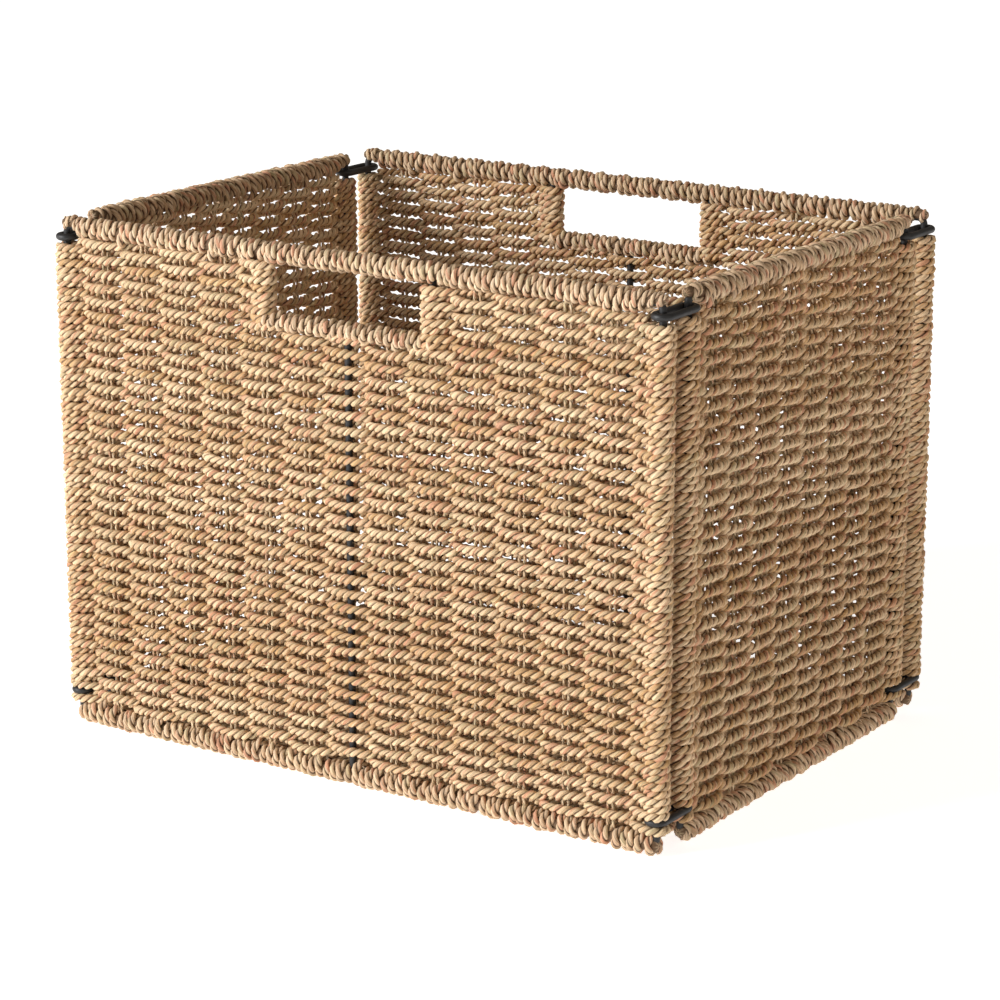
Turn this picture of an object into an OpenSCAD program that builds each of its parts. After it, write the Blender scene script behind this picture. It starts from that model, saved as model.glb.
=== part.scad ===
// Folding storage basket: four walls of seagrass rope woven on iron wire frames.
// Oval iron links join the walls at the corners, and a woven base mat is laced to the front wall.
// The front faces -Y, the length runs along X, and the origin is under the middle of the basket.

/* [Basket] */
// Overall length, along the front wall
basket_w = 400; // [330:1:480]
// Overall depth, from front to back
basket_d = 298; // [248:1:358]
// Overall height
basket_h = 298; // [248:1:358]

/* [Walls] */
// Diameter of the wrapped rails along the top and bottom of each wall
rail_d = 13; // [10:0.5:16]
// Thickness of the woven part of a wall
weave_t = 12; // [10:0.5:13]
// Distance from a corner post to the end of the rail's wrapping
rail_setback = 8; // [8:1:20]

/* [Iron frames] */
// Diameter of the frame wire
wire_d = 4; // [3:0.5:5]
// Radius of the wire's centre line round a frame's corners
bend_r = 4; // [4:0.5:6]

/* [Handles] */
// Length of each hand hole
hole_w = 98; // [80:1:120]
// Height of the lower edge of each hand hole below the top of the basket
hole_drop = 38; // [32:1:60]
// Diameter of the wrapped bar under each hand hole
bar_d = 11; // [9:0.5:13]
// Gap between the hand hole and the strut beside it
strut_inset = 4; // [1:0.5:6]
// How far the wrapped bar runs past the hand hole at each end
bar_overhang = 9; // [7:1:14]

/* [Warp cords] */
// Diameter of one warp cord
warp_d = 2.5; // [1.5:0.1:3]
// Usual distance from one pair of warp cords to the next
warp_pitch = 27; // [20:1:40]

/* [Corner links] */
// Diameter of a link's rod
link_d = 4; // [3:0.5:5]
// Height of the lower links' centre line above the floor
low_link_z = 20; // [18:0.5:40]

/* [Base] */
// Thickness of the base mat
base_t = 8; // [7:0.5:12]
// Diameter of the cord on which the mat turns
hinge_cord_d = 4; // [3:0.5:5]
// Diameter of the twine loops that lace the mat to the front wall
lace_d = 1.6; // [1:0.1:2]

/* [Clearances] */
// Gap between the folded walls and the raised mat
fold_gap = 1.5; // [1:0.1:4]
// Gap between the mat and the side walls
side_gap = 2; // [1.5:0.1:6]
// Radial play of a link or lace round what it holds
link_fit = 0.3; // [0.2:0.05:0.6]
// Gap round each warp cord
warp_fit = 0.3; // [0.1:0.05:0.6]
// Width of the room beside a lace
lace_gap = 1.7; // [1:0.1:4]
// Gap between a link and the rope rows next to it
link_gap = 0.7; // [0.5:0.1:3]

/* [Hidden] */
$fn = 48;

// The posts of two neighbouring walls stand this far apart, which leaves room for the raised
// mat between the front wall and a side wall that has folded against it.
wall_t = max(rail_d, weave_t);
link_span = wall_t + base_t + 2 * fold_gap;
long_y = basket_d / 2 - wall_t / 2;
side_x = basket_w / 2 - wall_t / 2;
long_half = side_x;
side_half = long_y - link_span;

wire_lo = rail_d / 2;
wire_hi = basket_h - rail_d / 2;
link_bore_r = wire_d / 2 + link_fit;
top_link_z = wire_hi - bend_r - link_fit - link_d / 2;
row_lo = low_link_z + link_d / 2 + link_gap;
row_hi = top_link_z - link_d / 2 - link_gap;
notch = link_bore_r + link_d + link_gap;

bar_z = basket_h - hole_drop - bar_d / 2;
bar_half = hole_w / 2 + bar_overhang;
strut_x = hole_w / 2 + wire_d / 2 + strut_inset;

mat_axis_y = long_y - wall_t / 2 - fold_gap - base_t / 2;
mat_axis_x = side_x - wall_t / 2 - side_gap - base_t / 2;
mat_axis_z = base_t / 2;
lace_bore_r = max(wire_d, hinge_cord_d) / 2 + link_fit / 2;
lace_room = lace_d / 2 + lace_gap;
lace_drop = wire_lo - mat_axis_z;
lace_reach = long_y - mat_axis_y;
lace_span = sqrt(lace_drop * lace_drop + lace_reach * lace_reach);

long_spaces = round(2 * long_half / warp_pitch);
side_spaces = round(2 * side_half / warp_pitch);
long_step = 2 * long_half / long_spaces;
side_step = 2 * side_half / side_spaces;
// Each lace is halfway between two columns of the warp.
lace_xs = [for (k = [2, 5, long_spaces - 6, long_spaces - 3]) (k + 0.5) * long_step - long_half];

seagrass = [0.78, 0.64, 0.44];
seagrass_rail = [0.72, 0.58, 0.38];
seagrass_light = [0.85, 0.75, 0.55];
iron = [0.13, 0.13, 0.14];

// A wall is drawn in the XZ plane with its middle on the Z axis, then put in its place.
module front_place() { translate([0, -long_y, 0]) children(); }
module back_place() { translate([0, long_y, 0]) children(); }
module right_place() { translate([side_x, 0, 0]) rotate([0, 0, 90]) children(); }
module left_place() { translate([-side_x, 0, 0]) rotate([0, 0, 90]) children(); }

module rod_x(x0, x1, z, d) { translate([x0, 0, z]) rotate([0, 90, 0]) cylinder(h = x1 - x0, d = d); }
module rod_z(x, z0, z1, d) { translate([x, 0, z0]) cylinder(h = z1 - z0, d = d); }

// A quarter turn of wire in the XZ plane, from the +X side to the +Z side of its centre.
module wire_bend() {
    rotate([90, 0, 0])
        rotate_extrude(angle = 90)
            translate([bend_r, 0]) circle(d = wire_d);
}

// The bent wire rectangle round one wall.
module wire_rectangle(half) {
    flat = half - bend_r;
    for (z = [wire_lo, wire_hi]) rod_x(-flat, flat, z, wire_d);
    for (x = [-half, half]) rod_z(x, wire_lo + bend_r, wire_hi - bend_r, wire_d);
    translate([flat, 0, wire_hi - bend_r]) wire_bend();
    translate([-flat, 0, wire_hi - bend_r]) mirror([1, 0, 0]) wire_bend();
    translate([flat, 0, wire_lo + bend_r]) mirror([0, 0, 1]) wire_bend();
    translate([-flat, 0, wire_lo + bend_r]) rotate([0, 180, 0]) wire_bend();
}

// A long wall's frame also has a bar under the hand hole and three welded struts.
module long_frame() {
    color(iron) {
        wire_rectangle(long_half);
        rod_x(-strut_x, strut_x, bar_z, wire_d);
        for (x = [-strut_x, strut_x]) rod_z(x, bar_z, wire_hi, wire_d);
        rod_z(0, wire_lo, bar_z, wire_d);
    }
}

module side_frame() { color(iron) wire_rectangle(side_half); }

// One pair of warp cords, from the bottom wire up to height top.
module warp_pair(x, top) {
    for (side = [-1, 1])
        rod_z(x + side * (warp_d / 2 + warp_fit), wire_lo + wire_d / 2 + warp_fit, top, warp_d);
}

// Pairs stand at even steps between the posts. The middle strut takes the place of a pair, and
// the pairs under the hand hole end at its bar.
module long_warps() {
    strut_room = wire_d / 2 + warp_d + 2 * warp_fit;
    bar_room = max(bar_half, strut_x + strut_room);
    color(seagrass_light)
        for (k = [1 : long_spaces - 1]) {
            x = k * long_step - long_half;
            top_wire = abs(x) < bar_room ? bar_z : wire_hi;
            if (abs(x) > strut_room) warp_pair(x, top_wire - wire_d / 2 - warp_fit);
        }
}

module side_warps() {
    color(seagrass_light)
        for (k = [1 : side_spaces - 1])
            warp_pair(k * side_step - side_half, wire_hi - wire_d / 2 - warp_fit);
}

// The rope rows of one wall: a slab that turns round both posts, stepped back at the links.
module rope_rows(half) {
    color(seagrass) {
        rotate([90, 0, 0])
            translate([0, 0, -weave_t / 2])
                linear_extrude(weave_t) {
                    translate([-half, row_lo]) square([2 * half, row_hi - row_lo]);
                    translate([-half + notch, rail_d])
                        square([2 * (half - notch), basket_h - 2 * rail_d]);
                }
        for (x = [-half, half]) rod_z(x, row_lo, row_hi, weave_t);
    }
}

module long_weave() {
    hole_z = basket_h - hole_drop;
    difference() {
        rope_rows(long_half);
        translate([-hole_w / 2, -weave_t, bar_z])
            cube([hole_w, 2 * weave_t, basket_h - bar_z]);
        translate([-bar_half, -weave_t, hole_z - bar_d])
            cube([2 * bar_half, 2 * weave_t, bar_d]);
    }
}

// The wrapping of a straight rail, as the solid that its turns fill.
module rail_binding(half, z) { color(seagrass_rail) rod_x(-half, half, z, rail_d); }

module long_top_binding() { rail_binding(long_half - rail_setback, wire_hi); }
module side_top_binding() { rail_binding(side_half - rail_setback, wire_hi); }
module long_bottom_binding() { rail_binding(long_half - rail_setback, wire_lo); }
module side_bottom_binding() { rail_binding(side_half - rail_setback, wire_lo); }
module handle_binding() { color(seagrass_rail) rod_x(-bar_half, bar_half, bar_z, bar_d); }

// An oval ring of rod in the XY plane. It runs along Y from the origin to y = span, and its
// hole leaves bore_r round each end's centre.
module oval_link(span, rod_d, bore_r) {
    r = bore_r + rod_d / 2;
    for (x = [-r, r])
        translate([x, 0, 0]) rotate([-90, 0, 0]) cylinder(h = span, d = rod_d);
    rotate([0, 0, 180])
        rotate_extrude(angle = 180) translate([r, 0]) circle(d = rod_d);
    translate([0, span, 0])
        rotate_extrude(angle = 180) translate([r, 0]) circle(d = rod_d);
}

// Links at both corners of a long wall, top and bottom, reaching from its posts to the
// side walls' posts.
module corner_links() {
    color(iron)
        for (x = [-side_x, side_x])
            for (z = [low_link_z, top_link_z])
                translate([x, -long_y, z]) oval_link(link_span, link_d, link_bore_r);
}

// Twine loops round the front wall's bottom wire and the mat's hinge cord.
module laces() {
    color(seagrass_light)
        for (x = lace_xs)
            translate([x, -long_y, wire_lo])
                rotate([-atan2(lace_drop, lace_reach), 0, 0])
                    rotate([0, 90, 0])
                        oval_link(lace_span, lace_d, lace_bore_r);
}

// Slots across the mat's front edge and the front wall's bottom binding, one at each lace.
module lace_slots(y0, y1) {
    for (x = lace_xs)
        translate([x - lace_room, y0, -1]) cube([2 * lace_room, y1 - y0, rail_d + 2]);
}

module mat_edge_rods() {
    for (y = [-mat_axis_y, mat_axis_y])
        translate([0, y, 0]) rod_x(-mat_axis_x, mat_axis_x, mat_axis_z, base_t);
    for (x = [-mat_axis_x, mat_axis_x])
        translate([x, -mat_axis_y, mat_axis_z])
            rotate([-90, 0, 0]) cylinder(h = 2 * mat_axis_y, d = base_t);
    for (x = [-mat_axis_x, mat_axis_x])
        for (y = [-mat_axis_y, mat_axis_y])
            translate([x, y, mat_axis_z]) sphere(d = base_t);
}

module front_frame() { front_place() long_frame(); }
module front_warp_cords() { front_place() long_warps(); }
module front_weave() { front_place() long_weave(); }
module front_top_binding() { front_place() long_top_binding(); }
module front_bottom_binding() {
    color(seagrass_rail)
        difference() {
            front_place() long_bottom_binding();
            lace_slots(-long_y - rail_d, -long_y + rail_d);
        }
}
module front_handle_binding() { front_place() handle_binding(); }
module front_corner_links() { corner_links(); }
module base_laces() { laces(); }

module back_frame() { back_place() long_frame(); }
module back_warp_cords() { back_place() long_warps(); }
module back_weave() { back_place() long_weave(); }
module back_top_binding() { back_place() long_top_binding(); }
module back_bottom_binding() { back_place() long_bottom_binding(); }
module back_handle_binding() { back_place() handle_binding(); }
module back_corner_links() { rotate([0, 0, 180]) corner_links(); }

module right_frame() { right_place() side_frame(); }
module right_warp_cords() { right_place() side_warps(); }
module right_weave() { right_place() rope_rows(side_half); }
module right_top_binding() { right_place() side_top_binding(); }
module right_bottom_binding() { right_place() side_bottom_binding(); }

module left_frame() { left_place() side_frame(); }
module left_warp_cords() { left_place() side_warps(); }
module left_weave() { left_place() rope_rows(side_half); }
module left_top_binding() { left_place() side_top_binding(); }
module left_bottom_binding() { left_place() side_bottom_binding(); }

// The mat fills the space inside its bound edge and lies flat on the floor.
module base_mat() {
    color(seagrass)
        difference() {
            translate([-mat_axis_x, -mat_axis_y, 0])
                cube([2 * mat_axis_x, 2 * mat_axis_y, base_t]);
            mat_edge_rods();
            lace_slots(-mat_axis_y - base_t, -mat_axis_y + base_t);
        }
}
module base_binding() {
    color(seagrass_rail)
        difference() {
            mat_edge_rods();
            lace_slots(-mat_axis_y - base_t, -mat_axis_y + base_t);
        }
}
module base_hinge_cord() {
    color(seagrass_light)
        translate([0, -mat_axis_y, 0])
            rod_x(-mat_axis_x + base_t, mat_axis_x - base_t, mat_axis_z, hinge_cord_d);
}

front_frame();
front_warp_cords();
front_weave();
front_top_binding();
front_bottom_binding();
front_handle_binding();
front_corner_links();
base_laces();
back_frame();
back_warp_cords();
back_weave();
back_top_binding();
back_bottom_binding();
back_handle_binding();
back_corner_links();
right_frame();
right_warp_cords();
right_weave();
right_top_binding();
right_bottom_binding();
left_frame();
left_warp_cords();
left_weave();
left_top_binding();
left_bottom_binding();
base_mat();
base_binding();
base_hinge_cord();
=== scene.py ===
"""The looks of the folding seagrass basket: ropes, wrapped rails, warp cords and black iron."""

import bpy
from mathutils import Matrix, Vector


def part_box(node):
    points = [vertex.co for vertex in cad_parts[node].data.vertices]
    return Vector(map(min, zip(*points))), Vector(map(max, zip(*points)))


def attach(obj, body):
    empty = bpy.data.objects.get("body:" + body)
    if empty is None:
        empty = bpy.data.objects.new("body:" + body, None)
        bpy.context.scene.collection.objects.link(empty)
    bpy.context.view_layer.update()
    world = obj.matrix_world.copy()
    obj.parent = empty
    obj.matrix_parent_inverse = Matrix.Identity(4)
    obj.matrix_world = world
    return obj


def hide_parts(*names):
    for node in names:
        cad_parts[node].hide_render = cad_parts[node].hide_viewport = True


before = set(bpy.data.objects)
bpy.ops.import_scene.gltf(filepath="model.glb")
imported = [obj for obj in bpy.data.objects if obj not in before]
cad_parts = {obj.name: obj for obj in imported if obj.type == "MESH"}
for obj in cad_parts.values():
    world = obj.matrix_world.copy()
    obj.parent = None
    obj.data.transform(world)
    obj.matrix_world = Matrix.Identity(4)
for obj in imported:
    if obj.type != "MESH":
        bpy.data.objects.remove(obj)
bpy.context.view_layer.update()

import logging
import math
from dataclasses import dataclass, field
from enum import Enum
from typing import Dict, List, Optional, Sequence, Tuple, Union

import bpy
import numpy as np
from mathutils import Matrix, Vector

LOG = logging.getLogger("basket")
Array = np.ndarray
Colour = Tuple[float, float, float]
MM = 0.001


# ---------------------------------------------------------------- shader expressions


class Value:
    """A number, colour or vector socket that can stand in a Python expression."""

    def __init__(self, kit: "ShaderKit", socket: bpy.types.NodeSocket) -> None:
        self.kit = kit
        self.socket = socket

    def _math(self, operation: str, *values: Union["Value", float]) -> "Value":
        return self.kit.node("ShaderNodeMath", {"operation": operation}, dict(enumerate(values)))

    def __add__(self, other: Union["Value", float]) -> "Value":
        return self._math("ADD", self, other)

    def __radd__(self, other: float) -> "Value":
        return self._math("ADD", other, self)

    def __sub__(self, other: Union["Value", float]) -> "Value":
        return self._math("SUBTRACT", self, other)

    def __rsub__(self, other: float) -> "Value":
        return self._math("SUBTRACT", other, self)

    def __mul__(self, other: Union["Value", float]) -> "Value":
        return self._math("MULTIPLY", self, other)

    def __rmul__(self, other: float) -> "Value":
        return self._math("MULTIPLY", other, self)

    def __pow__(self, other: Union["Value", float]) -> "Value":
        return self._math("POWER", self, other)


class ShaderKit:
    """Builds the nodes of one material."""

    def __init__(self, name: str) -> None:
        self.material = bpy.data.materials.new(name)
        self.material.use_nodes = True
        self.tree = self.material.node_tree
        self.tree.nodes.clear()

    def node(self, kind: str, settings: Dict[str, object],
             inputs: Dict[Union[int, str], object],
             output: Optional[Union[int, str]] = 0) -> Optional[Value]:
        """Adds one node.

        Args:
            kind: the node's type.
            settings: properties of the node, set before its sockets; "stops" are a ramp's
                (position, colour) pairs.
            inputs: for each input socket, by number or name, a Value to link or a constant.
            output: the output socket wanted, or None for a node that ends the chain.

        Returns:
            The output socket as a Value, or None.
        """
        node = self.tree.nodes.new(kind)
        for name, setting in settings.items():
            if name == "stops":
                self._set_stops(node.color_ramp, setting)
            else:
                setattr(node, name, setting)
        for key, given in inputs.items():
            socket = node.inputs[key]
            if isinstance(given, Value):
                self.tree.links.new(given.socket, socket)
            else:
                socket.default_value = given
        return None if output is None else Value(self, node.outputs[output])

    @staticmethod
    def _set_stops(ramp: bpy.types.ColorRamp, stops: Sequence[Tuple[float, Colour]]) -> None:
        """Gives a ramp its stops."""
        while len(ramp.elements) < len(stops):
            ramp.elements.new(0.5)
        for element, (position, colour) in zip(ramp.elements, stops):
            element.position = position
            element.color = (*colour, 1.0)

    def attribute(self, name: str, output: str) -> Value:
        """The named attribute of the piece, by its "Vector" or "Fac" output."""
        return self.node("ShaderNodeAttribute", {"attribute_name": name}, {}, output)

    def stretch(self, vector: Value, scale: Tuple[float, float, float]) -> Value:
        """vector times scale, part by part."""
        return self.node("ShaderNodeVectorMath", {"operation": "MULTIPLY"}, {0: vector, 1: scale})

    def noise(self, vector: Value, detail: float = 2.0) -> Value:
        """Noise between 0 and 1, whose features are about 1 unit of vector across."""
        inputs = {"Vector": vector, "Scale": 1.0, "Detail": detail, "Roughness": 0.55}
        return self.node("ShaderNodeTexNoise", {}, inputs, "Fac")

    def step(self, value: Value, low: float, high: float) -> Value:
        """0 below low, 1 above high, and a smooth rise between them."""
        return self.node("ShaderNodeMapRange", {"interpolation_type": "SMOOTHSTEP"},
                         {"Value": value, "From Min": low, "From Max": high})

    def ramp(self, value: Value, stops: Sequence[Tuple[float, Colour]]) -> Value:
        """A colour read off a ramp."""
        return self.node("ShaderNodeValToRGB", {"stops": stops}, {0: value})

    def mix(self, share: Union[Value, float], first: object, second: object,
            blend: str = "MIX") -> Value:
        """The two colours mixed, with share of the second."""
        settings = {"data_type": "RGBA", "blend_type": blend}
        return self.node("ShaderNodeMix", settings, {0: share, 6: first, 7: second}, 2)

    def grey(self, value: Value) -> Value:
        """A number as a grey colour."""
        return self.node("ShaderNodeCombineColor", {}, {0: value, 1: value, 2: value})

    def bump(self, height: Value, depth: float, strength: float) -> Value:
        """A normal tilted by a height map that is depth metres deep."""
        return self.node("ShaderNodeBump", {},
                         {"Height": height, "Distance": depth, "Strength": strength}, "Normal")

    def finish(self, **inputs: object) -> bpy.types.Material:
        """Adds the surface shader. An underscore in an input's name stands for a space."""
        named = {name.replace("_", " "): value for name, value in inputs.items()}
        shader = self.node("ShaderNodeBsdfPrincipled", {}, named)
        self.node("ShaderNodeOutputMaterial", {}, {"Surface": shader}, None)
        return self.material


# ---------------------------------------------------------------- finishes


@dataclass(frozen=True)
class GrassFinish:
    """Dried seagrass. Its colour drifts along each strand, and painted shade darkens it in the
    grooves between the plies and turns.
    """

    name: str
    pale: Colour = (0.76, 0.57, 0.365)
    straw: Colour = (0.615, 0.415, 0.24)
    ochre: Colour = (0.54, 0.33, 0.15)
    green: Colour = (0.45, 0.385, 0.21)
    russet: Colour = (0.54, 0.255, 0.155)
    # painted shade: the dark colour that the grooves between plies and turns are painted towards
    groove_shade_colour: Colour = (0.085, 0.046, 0.022)
    patch_length: float = 0.014
    strand_width: float = 0.0011
    fibre_width: float = 0.00038
    contrast: float = 1.2

    def material(self) -> bpy.types.Material:
        """Returns: the material, which reads the grain, groove_shade and hue attributes;
        groove_shade sets where shade is painted into the grooves.
        """
        kit = ShaderKit(self.name)
        grain = kit.attribute("grain", "Vector")
        groove_shade = kit.attribute("groove_shade", "Fac")
        hue = kit.attribute("hue", "Fac")
        along = 1 / self.patch_length
        across = 1 / self.fibre_width
        coarse = 1 / self.strand_width
        patch = kit.noise(kit.stretch(grain, (along, 430, 430)), 2.0)
        tint = kit.noise(kit.stretch(grain, (along * 0.5, 260, 260)), 1.0)
        strand = kit.noise(kit.stretch(grain, (60, coarse, coarse)), 1.5)
        streak = kit.noise(kit.stretch(grain, (110, across, across)), 2.0)
        fine = kit.noise(kit.stretch(grain, (300, across * 2.4, across * 2.4)), 1.0)
        tone = (patch - 0.5) * 1.8 + (hue - 0.5) * 0.5 + 0.5
        colour = kit.ramp(tone, [(0.12, self.ochre), (0.42, self.straw), (0.80, self.pale)])
        colour = kit.mix(kit.step(tint, 0.56, 0.70) * 0.55, colour, (*self.green, 1))
        colour = kit.mix(kit.step(tint, 0.45, 0.31) * 0.8, colour, (*self.russet, 1))
        fibres = (strand - 0.5) * 0.8 + (streak - 0.5) * 0.95 + (fine - 0.5) * 0.55
        light = kit.grey(fibres * self.contrast + 1.0)
        colour = kit.mix(1.0, colour, light, "MULTIPLY")
        # painted shade: the colour is darkened towards the painted shade colour where groove_shade
        # is low, in the grooves
        colour = kit.mix(kit.step(groove_shade, 0.02, 0.60), (*self.groove_shade_colour, 1), colour)
        height = strand * 0.9 + streak * 0.7 + fine * 0.3
        return kit.finish(Base_Color=colour, Roughness=streak * 0.2 + 0.62,
                          Normal=kit.bump(height, 0.0005, 0.7), IOR=1.45,
                          Specular_IOR_Level=0.32)


@dataclass(frozen=True)
class IronFinish:
    """Black lacquer over drawn iron wire, a little uneven and dusty."""

    name: str
    lacquer: Colour = (0.009, 0.009, 0.010)
    rubbed: Colour = (0.035, 0.033, 0.033)

    def material(self) -> bpy.types.Material:
        """Returns: the material, which reads Object coordinates in metres."""
        kit = ShaderKit(self.name)
        place = kit.node("ShaderNodeTexCoord", {}, {}, "Object")
        broad = kit.noise(kit.stretch(place, (140, 140, 140)), 3.0)
        fine = kit.noise(kit.stretch(place, (900, 900, 900)), 2.0)
        colour = kit.mix(kit.step(broad, 0.52, 0.72) * 0.7, (*self.lacquer, 1), (*self.rubbed, 1))
        return kit.finish(Base_Color=colour, Roughness=broad * 0.35 + 0.36,
                          Normal=kit.bump(fine * 0.6 + broad, 0.00025, 0.4), Metallic=0.0)


@dataclass(frozen=True)
class CordFinish:
    """Thin pale twine, drawn on Object coordinates for the plain cords that the CAD holds."""

    name: str
    pale: Colour = (0.60, 0.49, 0.33)
    dark: Colour = (0.34, 0.25, 0.14)
    thread: float = 0.0009

    def material(self) -> bpy.types.Material:
        """Returns: the material."""
        kit = ShaderKit(self.name)
        place = kit.node("ShaderNodeTexCoord", {}, {}, "Object")
        turns = kit.noise(kit.stretch(place, (1 / self.thread,) * 3), 2.0)
        colour = kit.mix(kit.step(turns, 0.35, 0.65), (*self.dark, 1), (*self.pale, 1))
        return kit.finish(Base_Color=colour, Roughness=turns * 0.2 + 0.68,
                          Normal=kit.bump(turns, 0.0003, 0.5))


# ---------------------------------------------------------------- strands


@dataclass
class Strands:
    """Tubes gathered for one mesh: rings of points, joined along each tube."""

    points: List[Array] = field(default_factory=list)
    faces: List[Array] = field(default_factory=list)
    caps: List[List[int]] = field(default_factory=list)
    grain: List[Array] = field(default_factory=list)
    groove_shade: List[Array] = field(default_factory=list)
    hue: List[Array] = field(default_factory=list)
    count: int = 0

    def add(self, rings: Array, grain: Array, groove_shade: Array, hue: float) -> None:
        """Adds one tube.

        Args:
            rings: points, as ring by angle by xyz; each ring turns from the first sideways
                axis to the second, which with the path's direction are right-handed.
            grain: length along the strand and place round it, as ring by angle by 3.
            groove_shade: where shade is painted, 0 in a groove and 1 on a crest, as ring by angle.
            hue: the tube's own shade, from 0 to 1.
        """
        rows, sides, _ = rings.shape
        here = (np.arange(rows - 1)[:, None] * sides + np.arange(sides)[None, :]).ravel()
        right = (np.arange(rows - 1)[:, None] * sides
                 + (np.arange(sides)[None, :] + 1) % sides).ravel()
        quads = np.stack([here, right, right + sides, here + sides], axis=1) + self.count
        self.faces.append(quads)
        first = list(range(self.count + sides - 1, self.count - 1, -1))
        last_start = self.count + (rows - 1) * sides
        self.caps += [first, list(range(last_start, last_start + sides))]
        self.points.append(rings.reshape(-1, 3))
        self.grain.append(grain.reshape(-1, 3))
        self.groove_shade.append(groove_shade.ravel())
        self.hue.append(np.full(rows * sides, hue))
        self.count += rows * sides

    def length_of_faces(self) -> int:
        """The number of triangles that the mesh will have."""
        return sum(2 * len(quads) for quads in self.faces) + sum(len(cap) - 2 for cap in self.caps)

    def piece(self, name: str, place: Matrix, material: bpy.types.Material) -> bpy.types.Object:
        """Makes the mesh object.

        Args:
            name: the piece's name.
            place: takes the strands' own coordinates to the row frame.
            material: what it is dressed in.

        Returns:
            The new object, at the origin, with its place in its mesh.
        """
        points = np.concatenate(self.points)
        turn = np.array(place.to_3x3())
        points = points @ turn.T + np.array(place.translation)
        quads = np.concatenate(self.faces)
        sizes = np.concatenate([np.full(len(quads), 4), [len(cap) for cap in self.caps]])
        corners = np.concatenate([quads.ravel(), np.concatenate(self.caps)])
        mesh = bpy.data.meshes.new(name)
        mesh.vertices.add(len(points))
        mesh.vertices.foreach_set("co", points.astype(np.float32).ravel())
        mesh.loops.add(len(corners))
        mesh.loops.foreach_set("vertex_index", corners.astype(np.int32))
        mesh.polygons.add(len(sizes))
        starts = np.concatenate([[0], np.cumsum(sizes)[:-1]])
        mesh.polygons.foreach_set("loop_start", starts.astype(np.int32))
        mesh.polygons.foreach_set("use_smooth", np.ones(len(sizes), bool))
        mesh.update(calc_edges=True)
        self._store(mesh, "grain", "FLOAT_VECTOR", "vector", np.concatenate(self.grain))
        self._store(mesh, "groove_shade", "FLOAT", "value", np.concatenate(self.groove_shade))
        self._store(mesh, "hue", "FLOAT", "value", np.concatenate(self.hue))
        mesh.materials.append(material)
        obj = bpy.data.objects.new(name, mesh)
        bpy.context.scene.collection.objects.link(obj)
        return obj

    @staticmethod
    def _store(mesh: bpy.types.Mesh, name: str, kind: str, part: str, values: Array) -> None:
        """Keeps values as a point attribute of mesh."""
        attribute = mesh.attributes.new(name, kind, "POINT")
        attribute.data.foreach_set(part, values.astype(np.float32).ravel())


def even_path(path: Array, step: float) -> Tuple[Array, Array]:
    """Spaces a path's points evenly.

    Args:
        path: the points, as n by 3, close together.
        step: the wanted distance from one point to the next.

    Returns:
        The new points, and the length from the start to each.
    """
    gaps = np.linalg.norm(np.diff(path, axis=0), axis=1)
    reach = np.concatenate([[0], np.cumsum(gaps)])
    number = max(4, int(round(reach[-1] / step)) + 1)
    along = np.linspace(0, reach[-1], number)
    return np.stack([np.interp(along, reach, path[:, i]) for i in range(3)], axis=1), along


def drift(rng: np.random.Generator, along: Array, wave: float, size: float) -> Array:
    """A slow random wander: three sine waves of random phase, of lengths near wave.

    Args:
        rng: where the random numbers come from.
        along: the lengths at which it is wanted.
        wave: the typical length of one wave.
        size: the typical greatest value.

    Returns:
        One number for each length.
    """
    phases = rng.uniform(0, 2 * np.pi, 3)
    waves = wave * rng.uniform(0.6, 1.6, 3)
    return size / 2 * np.sin(2 * np.pi * along[:, None] / waves + phases).sum(axis=1)


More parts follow.
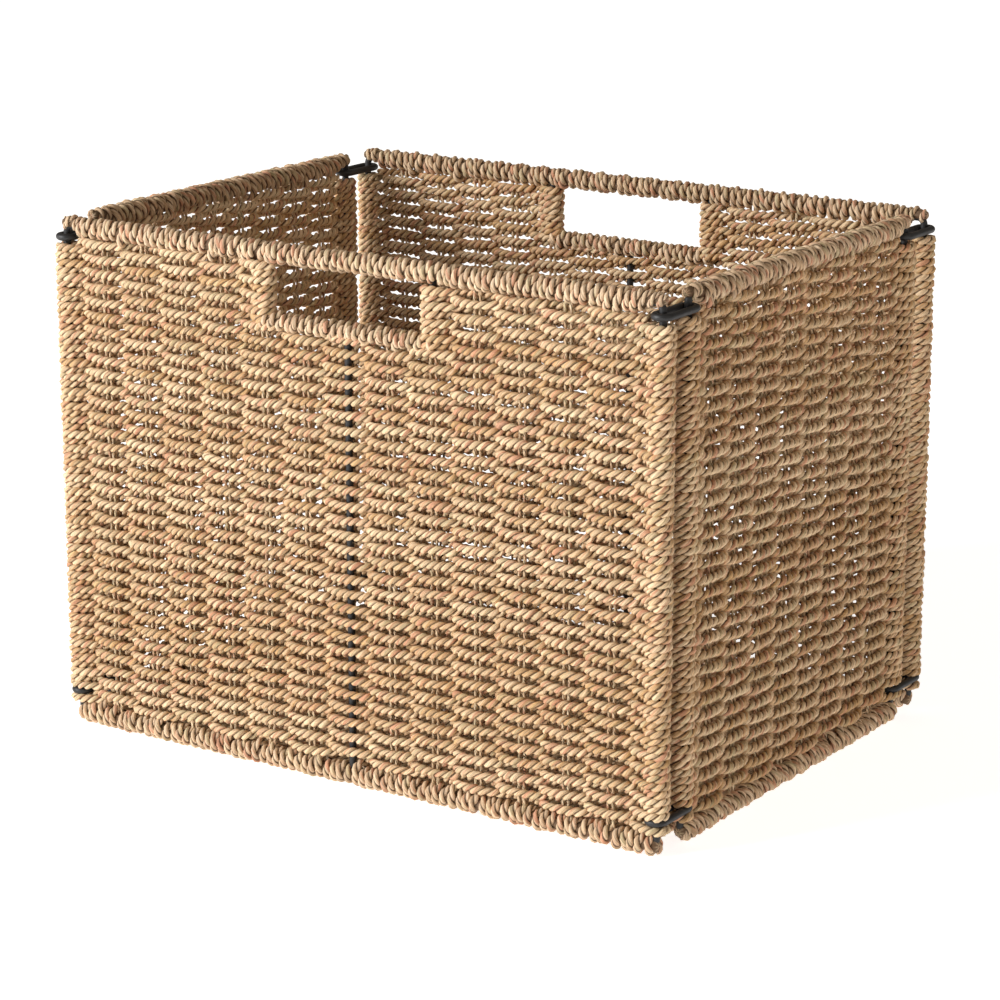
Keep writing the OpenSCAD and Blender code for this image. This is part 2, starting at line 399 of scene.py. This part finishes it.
@dataclass(frozen=True)
class Rope:
    """Two plies twisted together.

    Each ply is a circle of ply_radius whose middle is ply_offset from the rope's middle, and
    the pair makes one turn in each lay length. The squash makes the rope lower than it is deep.
    """

    ply_radius: float = 1.66 * MM
    ply_offset: float = 1.20 * MM
    lay: float = 9.8 * MM
    squash: float = 0.99
    ring_step: float = 1.6 * MM
    angles: Tuple[float, ...] = (90, 120, 155, 205, 240, 270, 300, 335, 385, 420)

    @property
    def radius(self) -> float:
        """From the rope's middle to the crest of a ply."""
        return self.ply_radius + self.ply_offset

    def outline(self, angle: Array) -> Array:
        """The rope's radius at an angle from the line through both plies' middles: the offset
        times the cosine's size, plus the rest of the ply's own circle on that ray."""
        across = self.ply_offset * np.sin(angle)
        beyond = np.sqrt(self.ply_radius ** 2 - across ** 2)
        return self.ply_offset * np.abs(np.cos(angle)) + beyond

    def lay_along(self, strands: Strands, path: Array, up: Array, rng: np.random.Generator,
                  taper: float = 0.25, full: Optional[Array] = None) -> None:
        """Adds this rope along a path.

        Args:
            strands: the mesh that it goes into.
            path: the points of its middle line.
            up: a direction that is never along the path.
            rng: random numbers for its twist and thickness.
            taper: how much thinner each end is.
            full: its share of the full thickness at each point of the path, or None for 1.
        """
        middle, along = even_path(path, self.ring_step)
        ahead = np.gradient(middle, axis=0)
        ahead /= np.linalg.norm(ahead, axis=1, keepdims=True)
        first = up - (ahead @ up)[:, None] * ahead
        first /= np.linalg.norm(first, axis=1, keepdims=True)
        second = np.cross(ahead, first)
        own = np.radians(self.angles)
        twist = -(2 * np.pi * along / self.lay + rng.uniform(0, 2 * np.pi)
                  + drift(rng, along, 0.06, 0.6))
        thick = 1 + drift(rng, along, 0.026, 0.12)
        ends = np.minimum(along, along[-1] - along) / (2 * self.radius)
        thick *= 1 - taper * np.clip(1 - ends, 0, 1) ** 2
        if full is not None:
            thick *= np.interp(np.linspace(0, 1, len(along)), np.linspace(0, 1, len(full)), full)
        angle = own[None, :] + twist[:, None]
        reach = self.outline(own)[None, :] * thick[:, None]
        rings = (middle[:, None, :]
                 + (reach * np.cos(angle) * self.squash)[..., None] * first[:, None, :]
                 + (reach * np.sin(angle) / self.squash)[..., None] * second[:, None, :])
        # painted shade mask: 0 in the valley between the plies, where shade is painted, and 1 on a
        # ply's crest
        depth = self.outline(own) - self.outline(np.array(np.pi / 2))
        groove_shade = np.broadcast_to(depth / depth.max(), angle.shape)
        grain = np.stack([np.broadcast_to((along + rng.uniform(0, 40))[:, None], angle.shape),
                          self.radius * np.cos(own)[None, :] + 0 * angle,
                          self.radius * np.sin(own)[None, :] + 0 * angle], axis=2)
        strands.add(rings, grain, groove_shade, rng.uniform())


@dataclass(frozen=True)
class Winding:
    """A rope wound closely round a rail, over a core of straight strands."""

    rope: Rope
    lean: float = 0.7 * MM
    ridges: int = 8
    steps_a_turn: int = 36
    closing_turns: float = 0.8
    closed_share: float = 0.8
    plug: float = 1.6 * MM
    dome: float = 2.4 * MM
    tied_share: float = 0.12
    neck_slope: float = 4 * MM
    core_rings: int = 110
    # painted shade on the core: a low value paints it dark, as the shade in the gaps between the
    # turns
    core_shade: float = 0.13

    def wind(self, strands: Strands, axis_points: Array, radii: Tuple[float, float], pitch: float,
             tie: float, bare: float, neck: Tuple[float, float], up: Array,
             rng: np.random.Generator) -> None:
        """Adds one rope that winds all along a straight axis.

        The turn's place at angle t is the axis point at t, plus the side radius times sin t
        sideways, plus the upright radius times cos t up. Each turn reaches further away from
        up by its own length times (1 - cos t) / 2: a little for most, and more for a tie. In
        the neck at each end the radii shrink, and the turns keep their level on the up side.
        The last turns draw in over the end of the rail.

        Args:
            strands: the mesh that it goes into.
            axis_points: the axis's two ends.
            radii: the radius sideways and upright, to the rope's middle.
            pitch: from one turn to the next.
            tie: the most that a turn reaches further.
            bare: how far from the axis's middle no turn reaches further.
            neck: each neck's length, and its share of the radii.
            up: the upright direction, square to the axis.
            rng: random numbers for its pitch, its ties and its shade.
        """
        start, end = axis_points
        length = float(np.linalg.norm(end - start))
        ahead = (end - start) / length
        side = np.cross(up, ahead)
        turns = int(length / pitch)
        theta = np.linspace(0, 2 * np.pi * turns, turns * self.steps_a_turn + 1)
        share = theta / theta[-1]
        lean = self.lean * (1 + drift(rng, share * length, 3 * pitch, 0.8))
        place = share * length + drift(rng, share * length, 4 * pitch, 0.2 * pitch)
        place = np.clip(place - lean * np.cos(theta), 0, length)
        full, necked = self._full(place, length, neck)
        ties = rng.uniform(0, 0.12, turns + 1)
        is_tie = rng.uniform(size=turns + 1) < self.tied_share
        ties = np.maximum(ties, is_tie * rng.uniform(0.4, 1.0, turns + 1))
        tied = (1 - necked) * (np.abs(place - length / 2) > bare)
        reach = tie * ties[np.minimum((theta / (2 * np.pi)).astype(int), turns)] * tied
        shut = np.clip(1 - turns * np.minimum(share, 1 - share) / self.closing_turns, 0, 1)
        wobble = full * (1 + drift(rng, share * length, 2.3 * pitch, 0.07))
        wobble *= 1 - (1 - self.closed_share) * shut ** 2 * (3 - 2 * shut)
        out = (np.sin(theta) * radii[0] * wobble)[:, None] * side
        rise = np.cos(theta) * radii[1] * wobble + (radii[1] + self.rope.radius) * (1 - full)
        out = out + (rise - reach * (1 - np.cos(theta)) / 2)[:, None] * up
        self.rope.lay_along(strands, start + place[:, None] * ahead + out, ahead, rng, full=full)

    def _full(self, place: Array, length: float,
              neck: Tuple[float, float]) -> Tuple[Array, Array]:
        """The share of the full radius at each place on an axis, and how far into a neck it is."""
        inside = neck[0] + self.neck_slope / 2 - np.minimum(place, length - place)
        necked = np.clip(inside / self.neck_slope, 0, 1)
        return 1 - (1 - neck[1]) * necked ** 2 * (3 - 2 * necked), necked

    def core(self, strands: Strands, axis_points: Array, radii: Tuple[float, float],
             neck: Tuple[float, float], up: Array, rng: np.random.Generator) -> None:
        """Adds the straight strands inside the wrapping: a tube with shallow ridges and round
        ends, which stand out of the last turns by the plug's length. It is painted dark all over,
        as painted shade where it shows between the turns.

        Args:
            strands: the mesh that it goes into.
            axis_points: the axis's two ends.
            radii: the wrapping's radius sideways and upright, to the rope's middle.
            neck: each neck's length, and its share of the radii.
            up: the upright direction, square to the axis.
            rng: random numbers for its shade.
        """
        start, end = axis_points
        length = float(np.linalg.norm(end - start))
        share = np.linspace(0, np.pi, self.core_rings)
        place = length / 2 - (length / 2 + self.plug) * np.cos(share)
        inside = np.minimum(place, length - place) + self.plug
        round_off = np.sqrt(1 - (1 - np.clip(inside / self.dome, 0, 1)) ** 2)
        round_off = np.maximum(round_off, 0.15)
        ahead = (end - start) / length
        side = np.cross(ahead, up)
        full, _ = self._full(place, length, neck)
        own = np.linspace(0, 2 * np.pi, 2 * self.ridges, endpoint=False)
        ridge = 1 + 0.05 * np.cos(self.ridges * own)
        under = 0.2 * self.rope.radius
        level = (radii[1] + self.rope.radius) * (1 - full)
        tall = ((radii[1] * full - under) * round_off)[:, None] * (np.cos(own) * ridge)
        tall = tall + level[:, None]
        wide = ((radii[0] * full - under) * round_off)[:, None] * (np.sin(own) * ridge)
        middle = start + place[:, None] * ahead
        rings = middle[:, None, :] + tall[..., None] * up + wide[..., None] * side
        grain = np.stack([place[:, None] + 0 * wide, tall, wide], axis=2)
        # painted shade: the core is dark all over, a little lighter on the ridges of its round
        # ends
        crest = np.clip(np.cos(self.ridges * own) + 0.6, 0, 1)
        groove_shade = self.core_shade + 0.6 * (1 - round_off)[:, None] * crest
        strands.add(rings, grain, groove_shade, rng.uniform())


# ---------------------------------------------------------------- walls


class Side(Enum):
    """A wall's name and how far it is turned about Z, so that its own Y axis points outwards."""

    FRONT = ("front", 180)
    BACK = ("back", 0)
    RIGHT = ("right", -90)
    LEFT = ("left", 90)

    @property
    def label(self) -> str:
        """The first word of the wall's CAD nodes."""
        return self.value[0]

    @property
    def turn(self) -> float:
        """The turn in radians."""
        return math.radians(self.value[1])

    @property
    def long(self) -> bool:
        """Whether it is one of the two walls with a hand hole."""
        return self in (Side.FRONT, Side.BACK)


UP = np.array([0.0, 0.0, 1.0])
ALONG = np.array([1.0, 0.0, 0.0])


@dataclass
class Wall:
    """One wall, in its own coordinates: X along it, Y outwards and Z up."""

    side: Side
    rope: Rope
    winding: Winding
    row_step: float = 4.1 * MM
    column_step: float = 27 * MM
    post_turn: float = 4.6 * MM
    wave: float = 3.5 * MM
    side_wave: float = 3.0 * MM
    path_step: float = 0.7 * MM
    tucked: float = 9 * MM
    row_short: float = 8 * MM
    under_rail: float = 1.3 * MM
    winding_step: float = 4.85 * MM
    tie_reach: float = 4.6 * MM
    past_post: float = 2.8 * MM
    bar_past_weave: float = 0.6 * MM
    bar_past_strut: float = 3 * MM
    neck_share: float = 0.76
    link_room: float = 3.1 * MM
    warp_half_gap: float = 1.6 * MM
    frays_a_row: float = 0.4
    fray_radius: float = 0.34 * MM
    fray_lift: float = 2.4 * MM
    seed: int = 1

    def __post_init__(self) -> None:
        """Reads the wall's sizes off its CAD nodes."""
        name = self.side.label
        low, high = self._box(f"{name}_frame")
        wire = self._wire()
        self.half = (high[0] - low[0]) / 2 - wire / 2
        low, high = self._box(f"{name}_weave")
        self.weave_low = low[2]
        self.thick = high[1] - low[1]
        low, high = self._box(f"{name}_top_binding")
        self.rail_half = (high[0] - low[0]) / 2
        self.rail_radius = (high[2] - low[2]) / 2
        self.top_z = (high[2] + low[2]) / 2
        low, high = self._box(f"{name}_bottom_binding")
        self.bottom_z = (high[2] + low[2]) / 2
        link_low, link_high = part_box("front_corner_links")
        self.links = (link_low.z + wire / 2, link_high.z - wire / 2)
        low, high = (Vector(c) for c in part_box(f"{name}_weave"))
        centre = (low + high) / 2
        turn = Matrix.Rotation(self.side.turn, 4, "Z")
        self.place = Matrix.Translation((centre.x, centre.y, 0)) @ turn
        spaces = round(2 * self.half / self.column_step)
        self.columns = np.linspace(-self.half, self.half, spaces + 1)
        self.rng = np.random.default_rng(self.seed)
        if self.side.long:
            low, high = self._box(f"{name}_handle_binding")
            self.bar_half = (high[0] - low[0]) / 2
            self.bar_radius = (high[2] - low[2]) / 2
            self.bar_z = (high[2] + low[2]) / 2
            self.strut = self.bar_half - self.bar_past_strut

    def _wire(self) -> float:
        """The frame wire's diameter: the thinnest way through the frame."""
        low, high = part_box(f"{self.side.label}_frame")
        return min(high - low)

    def _box(self, node: str) -> Tuple[Array, Array]:
        """A node's box in the wall's own coordinates, with X about its middle."""
        low, high = (np.array(c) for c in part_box(node))
        size = high - low
        if not self.side.long:
            size = size[[1, 0, 2]]
        middle = np.array([0, 0, (low[2] + high[2]) / 2])
        return middle - size / 2, middle + size / 2

    # -- rope rows

    def _row(self, number: int, level: float, ends: Tuple[float, float],
             turned: Tuple[bool, bool]) -> Array:
        """The middle line of one rope row.

        It waves by the cosine of half a turn for each column, so that it passes outside one
        column and inside the next. At a turned end it passes outside the post, goes half
        round it and lies back along the inside.

        Args:
            number: the row's number, which sets on which side it passes a column.
            level: its height.
            ends: where it starts and stops along the wall.
            turned: whether each end turns round a post, or is tucked in.

        Returns:
            The line's points.
        """
        start, stop = ends
        x = np.arange(start, stop, self.path_step)
        index = np.interp(x, self.columns, np.arange(len(self.columns)))
        flat = np.cos(np.pi * (index + number))
        wave = self.wave if self.side.long else self.side_wave
        y = wave * np.sign(flat) * np.abs(flat) ** 0.5
        reach = self.column_step * 0.42
        for end, is_turned in zip(ends, turned):
            share = np.clip(1 - np.abs(x - end) / reach, 0, 1)
            share = share * share * (3 - 2 * share)
            y = y * (1 - share) + share * (self.post_turn if is_turned else 0.0)
        z = level + self._settle(x, level)
        parts = [np.stack([x, y, z], axis=1)]
        for at_end, (end, is_turned) in enumerate(zip(ends, turned)):
            if is_turned:
                turn = self._turn(end, z[-at_end], bool(at_end))
                parts.insert(len(parts) if at_end else 0, turn)
        return np.concatenate(parts)

    def _turn(self, post: float, level: float, last: bool) -> Array:
        """Half a circle round a post and a short run back inside: the end of a row."""
        angle = np.linspace(np.pi / 2, -np.pi / 2, 14)[1:]
        radius = self.post_turn
        sign = 1 if last else -1
        arc = np.stack([post + sign * radius * np.cos(angle), radius * np.sin(angle),
                        np.full(angle.shape, level)], axis=1)
        back = np.linspace(0, 1, 10)[1:]
        tail = np.stack([post - sign * back * self.tucked, -radius + back * radius * 0.75,
                         np.full(back.shape, level)], axis=1)
        tail[:, 2] += back * 0.8 * MM
        line = np.concatenate([arc, tail])
        return line if last else line[::-1]

    def _settle(self, x: Array, level: float) -> Array:
        """How far the rows have settled from level: broad sine waves shared by all the rows,
        and a little wander of each row's own."""
        broad = (0.9 * np.sin(x / 0.061 + level / 0.05 + self.seed)
                 + 0.6 * np.sin(x / 0.027 - level / 0.031 + 2 * self.seed))
        return (broad * 0.55) * MM + drift(self.rng, x, 0.045, 0.34 * MM)

    def row_spans(self, level: float) -> List[Tuple[Tuple[float, float], Tuple[bool, bool]]]:
        """The stretches of a row at a level: (ends, turned) for each."""
        full = min(abs(level - link) for link in self.links) > self.link_room
        half = self.half if full else self.half - self.row_short
        if self.side.long and level > self.bar_z - self.bar_radius * 0.4:
            inner = self.strut
            return [((-half, -inner), (full, True)), ((inner, half), (True, full))]
        return [((-half, half), (full, full))]

    def build_rows(self, finish: bpy.types.Material) -> None:
        """Builds the rope rows, in two pieces for a short wall and three for a long one."""
        low = self.weave_low + self.rope.radius
        high = self.top_z - self.rail_radius + self.under_rail - self.rope.radius
        count = round((high - low) / self.row_step) + 1
        levels = np.linspace(low, high, count)
        parts = ("lower", "middle", "upper") if self.side.long else ("lower", "upper")
        for part, numbers in zip(parts, np.array_split(np.arange(count), len(parts))):
            strands = Strands()
            for number in numbers:
                for ends, turned in self.row_spans(levels[number]):
                    line = self._row(number, levels[number], ends, turned)
                    self.rope.lay_along(strands, line, UP, self.rng)
                    self._fray(strands, line)
            self._place(strands, f"{self.side.label}_rope_rows_{part}", finish, "seagrass_rope",
                        f"{self.side.label}_weave")

    def _fray(self, strands: Strands, line: Array) -> None:
        """Adds a few loose leaf ends, thin and pointed, that stand out of a row's outer side."""
        outer = line[line[:, 1] > 0]
        for _ in range(self.rng.poisson(self.frays_a_row)):
            root = outer[self.rng.integers(len(outer))]
            length = self.rng.uniform(3.5, 9) * MM
            along = self.rng.choice((-1, 1)) * length
            share = np.linspace(0, 1, 7)
            bend = self.rng.uniform(-0.5, 0.5)
            path = root + np.stack([along * share,
                                    self.rope.radius * 0.8 + self.fray_lift * share,
                                    length * bend * share ** 2], axis=1)
            radius = self.fray_radius * (1.05 - share)
            own = np.linspace(0, 2 * np.pi, 5, endpoint=False)
            side = np.array([0, 0, 1.0 if along > 0 else -1.0])
            out, aside = radius[:, None] * np.cos(own), radius[:, None] * np.sin(own)
            rings = path[:, None, :] + out[..., None] * [0, 1.0, 0] + aside[..., None] * side
            grain = np.stack([(length * share)[:, None] + 0 * out, out, aside], axis=2)
            strands.add(rings, grain, np.ones(grain.shape[:2]), self.rng.uniform(0.3, 1.0))

    # -- rails, bar and warp

    def build_rails(self, finish: bpy.types.Material) -> None:
        """Builds the wrapped rails, and the wrapped bar under a hand hole.

        The wrapping of a rail runs on past its CAD node to the post. Along the top it is
        thinner there, to stand clear above the corner link.
        """
        name = self.side.label
        flat = self.rail_radius - self.winding.rope.radius
        past = self.half + self.past_post - self.rail_half
        hole = self.strut + self.post_turn if self.side.long else 0.0
        for label, level, up, share, bare in (("top", self.top_z, UP, self.neck_share, hole),
                                              ("bottom", self.bottom_z, -UP, 1.0, 0.0)):
            self._wrap(label, f"{name}_{label}_binding", self.rail_half, level, (flat, flat), up,
                       (past, share), bare, finish)
        if self.side.long:
            tall = self.bar_radius - self.winding.rope.radius
            deep = self.thick / 2 + self.bar_past_weave - 0.5 * self.winding.rope.radius
            self._wrap("handle", f"{name}_handle_binding", self.bar_half, self.bar_z,
                       (deep, tall), UP, (0.0, 1.0), 0.0, finish)

    def _wrap(self, label: str, node: str, half: float, level: float,
              radii: Tuple[float, float], up: Array, neck: Tuple[float, float], bare: float,
              finish: bpy.types.Material) -> None:
        """Builds one wrapping and its core. The wrapping runs past half by the neck's length."""
        strands = Strands()
        reach = half + neck[0] - self.winding.rope.radius * neck[1]
        line = np.array([[-reach, 0, level], [reach, 0, level]])
        self.winding.wind(strands, line, radii, self.winding_step, self.tie_reach, bare, neck,
                          up, self.rng)
        self.winding.core(strands, line, radii, neck, up, self.rng)
        self._place(strands, f"{self.side.label}_{label}_wrapping", finish, "seagrass_wrap", node)

    def build_warp(self, cord: Rope, finish: bpy.types.Material) -> None:
        """Builds the pairs of warp cords, each a thin rope that stands between the wires."""
        strands = Strands()
        low, high = self._box(f"{self.side.label}_warp_cords")
        for x in self.columns[1:-1]:
            if self.side.long and abs(x) < 1 * MM:
                continue
            under = self.side.long and abs(x) < self.bar_half
            top = self.bar_z if under else high[2]
            for offset in (-self.warp_half_gap, self.warp_half_gap):
                z = np.linspace(low[2], top, 60)
                line = np.stack([np.full(z.shape, x + offset), 0 * z, z], axis=1)
                line[:, 0] += drift(self.rng, z, 0.05, 0.25 * MM)
                cord.lay_along(strands, line, ALONG, self.rng)
        self._place(strands, f"{self.side.label}_warp_twine", finish, "warp_cord",
                    f"{self.side.label}_warp_cords")

    def _place(self, strands: Strands, name: str, finish: bpy.types.Material, slot: str,
               node: str) -> None:
        """Makes one piece and ties it to the wall's body."""
        piece = strands.piece(name, self.place, finish)
        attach(piece, f"{self.side.label}_wall")
        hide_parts(node)
        LOG.info("%s: %d triangles", name, strands.length_of_faces())


# ---------------------------------------------------------------- base


@dataclass
class BaseMat:
    """The woven mat that lies on the floor inside the walls."""

    rope: Rope
    winding: Winding
    row_step: float = 4.3 * MM
    column_step: float = 27 * MM
    wave: float = 0.9 * MM
    path_step: float = 1.0 * MM
    edge_step: float = 3.2 * MM
    seed: int = 9

    def __post_init__(self) -> None:
        """Reads the mat's sizes off its CAD nodes."""
        low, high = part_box("base_binding")
        self.radius = (high.z - low.z) / 2
        self.half_x = (high.x - low.x) / 2 - self.radius
        self.half_y = (high.y - low.y) / 2 - self.radius
        self.rng = np.random.default_rng(self.seed)

    def build(self, rope_finish: bpy.types.Material, wrap_finish: bpy.types.Material) -> None:
        """Builds the rope rows as two pieces and the bound edge as one."""
        low, high = -self.half_y + self.row_step, self.half_y - self.row_step / 2
        levels = np.arange(low, high, self.row_step)
        x = np.arange(-self.half_x, self.half_x, self.path_step)
        halves = np.array_split(np.arange(len(levels)), 2)
        for part, numbers in zip(("front", "back"), halves):
            strands = Strands()
            for number in numbers:
                wave = self.wave * np.cos(np.pi * (x / self.column_step + number))
                y = levels[number] + drift(self.rng, x, 0.06, 0.2 * MM)
                line = np.stack([x, y, self.radius + wave], axis=1)
                self.rope.lay_along(strands, line, UP, self.rng)
            self._place(strands, f"base_rope_rows_{part}", rope_finish, "seagrass_rope",
                        "base_mat")
        strands = Strands()
        corners = np.array([[-1, -1], [1, -1], [1, 1], [-1, 1], [-1, -1]])
        corners = corners * [self.half_x, self.half_y]
        flat = self.radius - self.winding.rope.radius
        for first, second in zip(corners[:-1], corners[1:]):
            line = np.array([[*first, self.radius], [*second, self.radius]])
            self.winding.wind(strands, line, (flat, flat), self.edge_step, 0.0, 0.0,
                              (0.0, 1.0), UP, self.rng)
            self.winding.core(strands, line, (flat, flat), (0.0, 1.0), UP, self.rng)
        self._place(strands, "base_edge_wrapping", wrap_finish, "seagrass_wrap", "base_binding")

    def _place(self, strands: Strands, name: str, finish: bpy.types.Material, slot: str,
               node: str) -> None:
        """Makes one piece and ties it to the mat's body."""
        piece = strands.piece(name, Matrix.Identity(4), finish)
        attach(piece, "base")
        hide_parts(node)
        LOG.info("%s: %d triangles", name, strands.length_of_faces())


# ---------------------------------------------------------------- CAD nodes that show


def dress(nodes: Sequence[str], material: bpy.types.Material) -> None:
    """Gives CAD nodes that show as they are a better material."""
    for name in nodes:
        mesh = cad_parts[name].data
        mesh.materials.clear()
        mesh.materials.append(material)
        LOG.info("%s: dressed in %s", name, material.name)


# ---------------------------------------------------------------- studio


@dataclass(frozen=True)
class Studio:
    """The floor, the lights and the camera."""

    eye: Tuple[float, float, float] = (0.999, -1.492, 0.617)
    yaw: float = 33.77
    pitch: float = 15.18
    lens: float = 116.9
    sensor: float = 36.0
    floor_half: float = 6.0

    def build_camera(self) -> None:
        """Makes the camera: turned yaw degrees about Z from looking along +Y, and pitched down."""
        data = bpy.data.cameras.new("camera")
        data.lens = self.lens
        data.sensor_width = self.sensor
        camera = bpy.data.objects.new("camera", data)
        camera.location = self.eye
        camera.rotation_euler = (math.radians(90 - self.pitch), 0, math.radians(self.yaw))
        bpy.context.scene.collection.objects.link(camera)
        bpy.context.scene.camera = camera

    def build_floor(self) -> None:
        """Makes the pale floor, which glows a little, as a lit paper sweep does."""
        h = self.floor_half
        mesh = bpy.data.meshes.new("floor")
        mesh.from_pydata([(-h, -h, 0), (h, -h, 0), (h, h, 0), (-h, h, 0)], [], [(0, 1, 2, 3)])
        floor = bpy.data.objects.new("floor", mesh)
        bpy.context.scene.collection.objects.link(floor)
        kit = ShaderKit("pale_paper")
        material = kit.finish(Base_Color=(0.86, 0.86, 0.86, 1), Roughness=0.9,
                              Emission_Color=(1, 1, 1, 1), Emission_Strength=0.78)
        mesh.materials.append(material)

    def build_lights(self) -> None:
        """Makes one broad key from the front left, a warm fill and a dim warm world."""
        self._area("key", (-1.9, -2.9, 1.35), 1.3, 160, (1, 1, 1))
        self._area("fill", (2.6, -0.6, 1.6), 1.6, 9, (1, 0.84, 0.68))
        world = bpy.data.worlds.new("studio")
        world.use_nodes = True
        back = world.node_tree.nodes["Background"]
        back.inputs["Color"].default_value = (1, 0.91, 0.80, 1)
        back.inputs["Strength"].default_value = 0.26
        bpy.context.scene.world = world
        bpy.context.scene.view_settings.view_transform = "Standard"

    @staticmethod
    def _area(name: str, place: Tuple[float, float, float], size: float, power: float,
              colour: Colour) -> None:
        """Makes a square area light that faces the basket."""
        data = bpy.data.lights.new(name, "AREA")
        data.size = size
        data.energy = power
        data.color = colour
        light = bpy.data.objects.new(name, data)
        light.location = place
        towards = Vector((0, 0, 0.12)) - Vector(place)
        light.rotation_euler = towards.to_track_quat("-Z", "Y").to_euler()
        bpy.context.scene.collection.objects.link(light)


def main() -> None:
    """Builds the camera, the walls, the base, the iron and the studio in turn."""
    logging.basicConfig(level=logging.INFO, format="%(name)s: %(message)s")
    studio = Studio()
    studio.build_camera()
    rope_finish = GrassFinish("seagrass_rope").material()
    wrap_finish = GrassFinish("seagrass_wrap", pale=(0.71, 0.53, 0.36), straw=(0.57, 0.40, 0.25),
                              ochre=(0.47, 0.30, 0.17), contrast=1.4).material()
    warp_finish = GrassFinish("warp_twine", pale=(0.76, 0.60, 0.40), straw=(0.66, 0.48, 0.30),
                              ochre=(0.56, 0.38, 0.22)).material()
    iron = IronFinish("black_iron").material()
    twine = CordFinish("lacing_twine").material()
    rope = Rope()
    winding = Winding(Rope(ply_radius=1.40 * MM, ply_offset=0.98 * MM, lay=12.5 * MM, squash=1.0,
                           ring_step=1.3 * MM))
    warp = Rope(ply_radius=0.74 * MM, ply_offset=0.52 * MM, lay=9 * MM, squash=1.0,
                ring_step=2.1 * MM, angles=(90, 140, 220, 270, 320, 400))
    for seed, side in enumerate(Side, start=1):
        wall = Wall(side, rope, winding, seed=seed)
        wall.build_rows(rope_finish)
        wall.build_rails(wrap_finish)
        wall.build_warp(warp, warp_finish)
    base_rope = Rope(ply_radius=1.6 * MM, ply_offset=1.15 * MM, ring_step=2.3 * MM,
                     angles=(90, 125, 180, 235, 270, 305, 360, 415))
    base_winding = Winding(Rope(ply_radius=0.92 * MM, ply_offset=0.66 * MM, lay=9 * MM, squash=1.0,
                                ring_step=1.3 * MM, angles=(90, 140, 220, 270, 320, 400)))
    BaseMat(base_rope, base_winding).build(rope_finish, wrap_finish)
    dress([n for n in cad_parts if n.endswith(("_frame", "_links"))], iron)
    dress(["base_laces", "base_hinge_cord"], twine)
    studio.build_floor()
    studio.build_lights()


if __name__ == "__main__":
    main()
